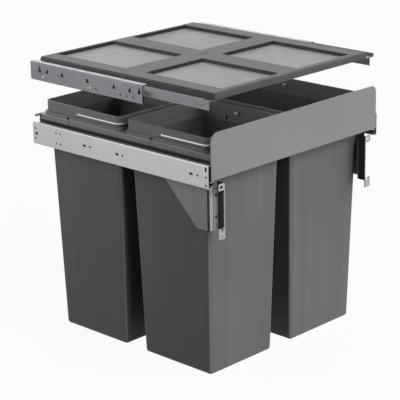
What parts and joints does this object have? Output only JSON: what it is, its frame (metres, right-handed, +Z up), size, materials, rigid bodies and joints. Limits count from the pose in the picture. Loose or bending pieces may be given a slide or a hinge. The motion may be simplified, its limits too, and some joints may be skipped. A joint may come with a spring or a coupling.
{
  "type": "pull out bin frame",
  "caption": "Pull-out waste bin unit for a kitchen base cabinet: steel carriage on telescopic ball runners, hanging plastic bins with bail handles, front plate and sliding lid shelf.",
  "frame": {"origin": "middle of the unit's box at the height of the bins' feet", "axes": "-Y to the front, where the frame is pulled out; +X to the right seen from the front; +Z up"},
  "size_m": [0.564, 0.556, 0.642],
  "materials": {
    "runner_zinc": "zinc plated, satin",
    "member_steel": "phosphated and oiled",
    "cage_steel": "bare sheet, satin",
    "ball_steel": "polished",
    "rivet_zinc": "zinc plated",
    "frame_paint": "powder coat, satin anthracite",
    "fascia_paint": "powder coat, satin grey",
    "bracket_zinc": "zinc plated",
    "bin_plastic": "fine moulded texture",
    "bail_wire": "bright zinc wire",
    "lid_plastic": "satin",
    "lid_panel": "satin light grey",
    "lid_rail_steel": "galvanised, matt"
  },
  "bodies": {
    "cabinet_fixings": {"runner_cabinet_member_left": "runner_zinc", "lid_wall_bracket_left": "lid_rail_steel", "runner_cabinet_member_right": "runner_zinc", "lid_wall_bracket_right": "lid_rail_steel"},
    "outer_cage_left": {"outer_ball_cage_left": "cage_steel", "outer_balls_left": "ball_steel"},
    "middle_member_left": {"runner_middle_member_left": "member_steel"},
    "inner_cage_left": {"inner_ball_cage_left": "cage_steel", "inner_balls_left": "ball_steel"},
    "outer_cage_right": {"outer_ball_cage_right": "cage_steel", "outer_balls_right": "ball_steel"},
    "middle_member_right": {"runner_middle_member_right": "member_steel"},
    "inner_cage_right": {"inner_ball_cage_right": "cage_steel", "inner_balls_right": "ball_steel"},
    "pull_out_frame": {"runner_frame_member_left": "runner_zinc", "runner_rivets_left": "rivet_zinc", "frame_side_left": "frame_paint", "door_bracket_left": "bracket_zinc", "runner_frame_member_right": "runner_zinc", "runner_rivets_right": "rivet_zinc", "frame_side_right": "frame_paint", "door_bracket_right": "bracket_zinc", "frame_front_rail": "frame_paint", "frame_rear_rail": "frame_paint", "frame_centre_bar": "frame_paint", "frame_divider_bar": "frame_paint", "front_fascia": "fascia_paint"},
    "small_bin_front": {"small_bin_front": "bin_plastic"},
    "small_bin_rear": {"small_bin_rear": "bin_plastic"},
    "long_bin": {"long_bin": "bin_plastic"},
    "small_bin_front_bail": {"small_bin_front_bail": "bail_wire"},
    "small_bin_rear_bail": {"small_bin_rear_bail": "bail_wire"},
    "long_bin_front_bail": {"long_bin_front_bail": "bail_wire"},
    "long_bin_rear_bail": {"long_bin_rear_bail": "bail_wire"},
    "lid_shelf": {"lid_frame": "lid_plastic", "lid_panel_front_left": "lid_panel", "lid_panel_front_right": "lid_panel", "lid_panel_rear_left": "lid_panel", "lid_panel_rear_right": "lid_panel", "lid_rail_left": "lid_rail_steel", "lid_rail_right": "lid_rail_steel"}
  },
  "joints": [
    {"name": "frame_pull_out", "type": "slide", "parent": "cabinet_fixings", "child": "pull_out_frame", "axis": [0, -1, 0], "range_m": [0, 0.55]},
    {"name": "outer_cage_left_slide", "type": "slide", "parent": "cabinet_fixings", "child": "outer_cage_left", "axis": [0, -1, 0], "range_m": [0, 0.1375]},
    {"name": "middle_member_left_slide", "type": "slide", "parent": "cabinet_fixings", "child": "middle_member_left", "axis": [0, -1, 0], "range_m": [0, 0.275]},
    {"name": "inner_cage_left_slide", "type": "slide", "parent": "cabinet_fixings", "child": "inner_cage_left", "axis": [0, -1, 0], "range_m": [0, 0.41251]},
    {"name": "outer_cage_right_slide", "type": "slide", "parent": "cabinet_fixings", "child": "outer_cage_right", "axis": [0, -1, 0], "range_m": [0, 0.1375]},
    {"name": "middle_member_right_slide", "type": "slide", "parent": "cabinet_fixings", "child": "middle_member_right", "axis": [0, -1, 0], "range_m": [0, 0.275]},
    {"name": "inner_cage_right_slide", "type": "slide", "parent": "cabinet_fixings", "child": "inner_cage_right", "axis": [0, -1, 0], "range_m": [0, 0.41251]},
    {"name": "small_bin_front_lift", "type": "slide", "parent": "pull_out_frame", "child": "small_bin_front", "axis": [0, 0, 1], "range_m": [0, 0.08]},
    {"name": "small_bin_rear_lift", "type": "slide", "parent": "pull_out_frame", "child": "small_bin_rear", "axis": [0, 0, 1], "range_m": [0, 0.08]},
    {"name": "long_bin_lift", "type": "slide", "parent": "pull_out_frame", "child": "long_bin", "axis": [0, 0, 1], "range_m": [0, 0.08]},
    {"name": "small_bin_front_bail_swing", "type": "hinge", "parent": "small_bin_front", "child": "small_bin_front_bail", "pos_m": [-0.1375, -0.1175, 0.5295], "axis": [-1, 0, 0], "range_deg": [0, 42]},
    {"name": "small_bin_rear_bail_swing", "type": "hinge", "parent": "small_bin_rear", "child": "small_bin_rear_bail", "pos_m": [-0.1375, 0.1475, 0.5295], "axis": [-1, 0, 0], "range_deg": [0, 42]},
    {"name": "long_bin_front_bail_swing", "type": "hinge", "parent": "long_bin", "child": "long_bin_front_bail", "pos_m": [0.1325, -0.0215, 0.5295], "axis": [-1, 0, 0], "range_deg": [0, 23]},
    {"name": "long_bin_rear_bail_swing", "type": "hinge", "parent": "long_bin", "child": "long_bin_rear_bail", "pos_m": [0.1325, 0.0515, 0.5295], "axis": [1, 0, 0], "range_deg": [0, 25]},
    {"name": "lid_slide", "type": "slide", "parent": "cabinet_fixings", "child": "lid_shelf", "axis": [0, 1, 0], "range_m": [-0.2, 0]}
  ],
  "couplings": [
    {"joint": "outer_cage_left_slide", "follows": "frame_pull_out", "ratio": 0.25},
    {"joint": "middle_member_left_slide", "follows": "frame_pull_out", "ratio": 0.5},
    {"joint": "inner_cage_left_slide", "follows": "frame_pull_out", "ratio": 0.75},
    {"joint": "outer_cage_right_slide", "follows": "frame_pull_out", "ratio": 0.25},
    {"joint": "middle_member_right_slide", "follows": "frame_pull_out", "ratio": 0.5},
    {"joint": "inner_cage_right_slide", "follows": "frame_pull_out", "ratio": 0.75}
  ]
}
